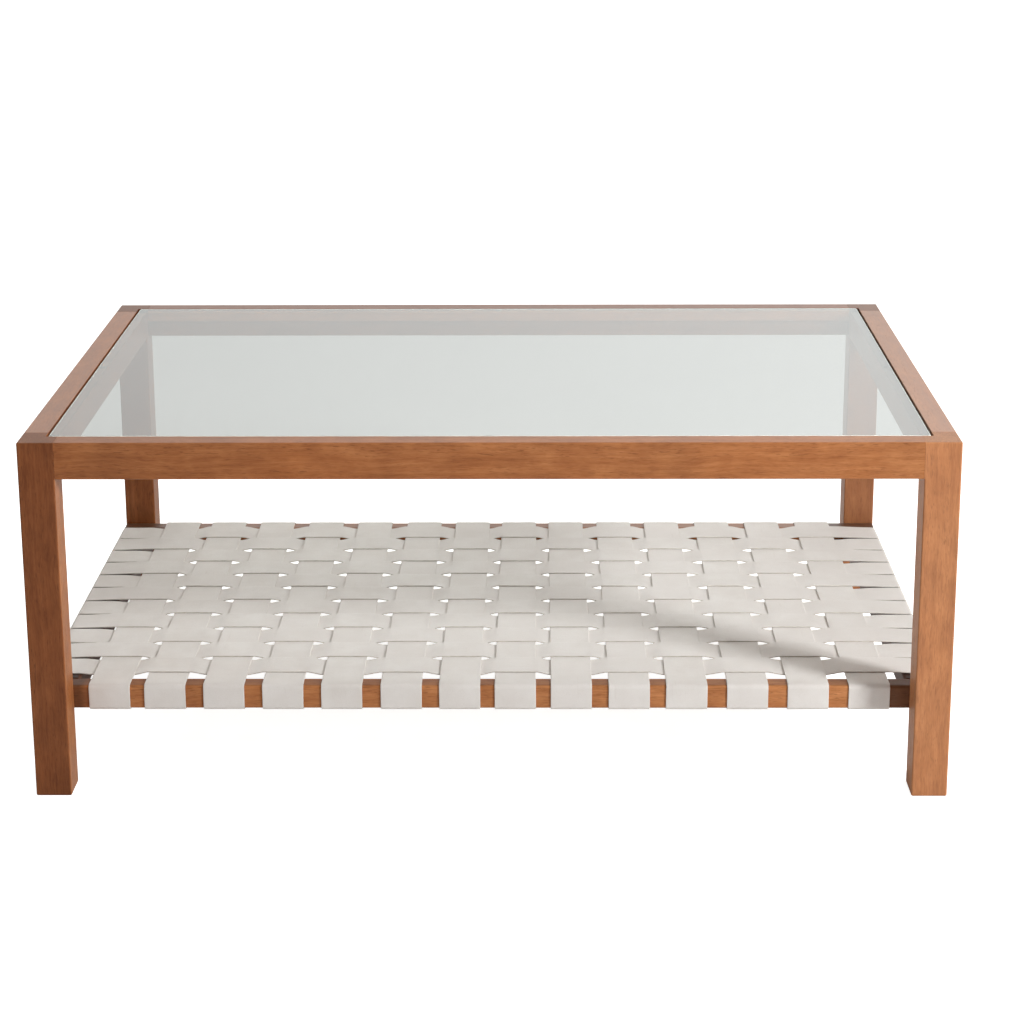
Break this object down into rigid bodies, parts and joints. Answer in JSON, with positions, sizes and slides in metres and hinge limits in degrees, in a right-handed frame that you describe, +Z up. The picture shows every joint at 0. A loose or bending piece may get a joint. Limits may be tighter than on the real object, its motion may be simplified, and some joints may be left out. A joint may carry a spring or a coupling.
{
  "type": "coffee table",
  "caption": "Low rectangular hardwood table with square legs, a glass pane set flush in the top frame and a lower shelf of leather straps in plain weave.",
  "frame": {"origin": "on the floor under the middle of the table, at the centre of its bounding box's base", "axes": "+X to the right along the table's long side, +Y from the front to the back, +Z up"},
  "size_m": [1.1, 0.71, 0.445],
  "materials": {
    "hardwood": "oiled satin reddish brown hardwood",
    "dowel_wood": "plain beech",
    "glass": "clear polished float glass",
    "clear_pad": "clear soft pad",
    "strap_leather": "matt greige vegetable-tanned leather"
  },
  "bodies": {
    "root": {"apron_back": "hardwood", "apron_front": "hardwood", "end_rail_left": "hardwood", "end_rail_right": "hardwood", "glass_cleat_back": "hardwood", "glass_cleat_front": "hardwood", "glass_pad_back": "clear_pad", "glass_pad_back_left": "clear_pad", "glass_pad_back_right": "clear_pad", "glass_pad_front": "clear_pad", "glass_pad_front_left": "clear_pad", "glass_pad_front_right": "clear_pad", "glass_pad_left": "clear_pad", "glass_pad_right": "clear_pad", "glass_top": "glass", "leg_back_left": "hardwood", "leg_back_right": "hardwood", "leg_front_left": "hardwood", "leg_front_right": "hardwood", "shelf_dowel_back_left_inner": "dowel_wood", "shelf_dowel_back_left_outer": "dowel_wood", "shelf_dowel_back_right_inner": "dowel_wood", "shelf_dowel_back_right_outer": "dowel_wood", "shelf_dowel_front_left_inner": "dowel_wood", "shelf_dowel_front_left_outer": "dowel_wood", "shelf_dowel_front_right_inner": "dowel_wood", "shelf_dowel_front_right_outer": "dowel_wood", "shelf_rail_back": "hardwood", "shelf_rail_front": "hardwood", "shelf_rail_left": "hardwood", "shelf_rail_right": "hardwood", "warp_strap_01": "strap_leather", "warp_strap_02": "strap_leather", "warp_strap_03": "strap_leather", "warp_strap_04": "strap_leather", "warp_strap_05": "strap_leather", "warp_strap_06": "strap_leather", "warp_strap_07": "strap_leather", "warp_strap_08": "strap_leather", "warp_strap_09": "strap_leather", "warp_strap_10": "strap_leather", "warp_strap_11": "strap_leather", "warp_strap_12": "strap_leather", "warp_strap_13": "strap_leather", "warp_strap_14": "strap_leather", "weft_strap_01": "strap_leather", "weft_strap_02": "strap_leather", "weft_strap_03": "strap_leather", "weft_strap_04": "strap_leather", "weft_strap_05": "strap_leather", "weft_strap_06": "strap_leather", "weft_strap_07": "strap_leather", "weft_strap_08": "strap_leather", "weft_strap_09": "strap_leather", "weft_strap_10": "strap_leather", "weft_strap_11": "strap_leather"}
  },
  "joints": []
}
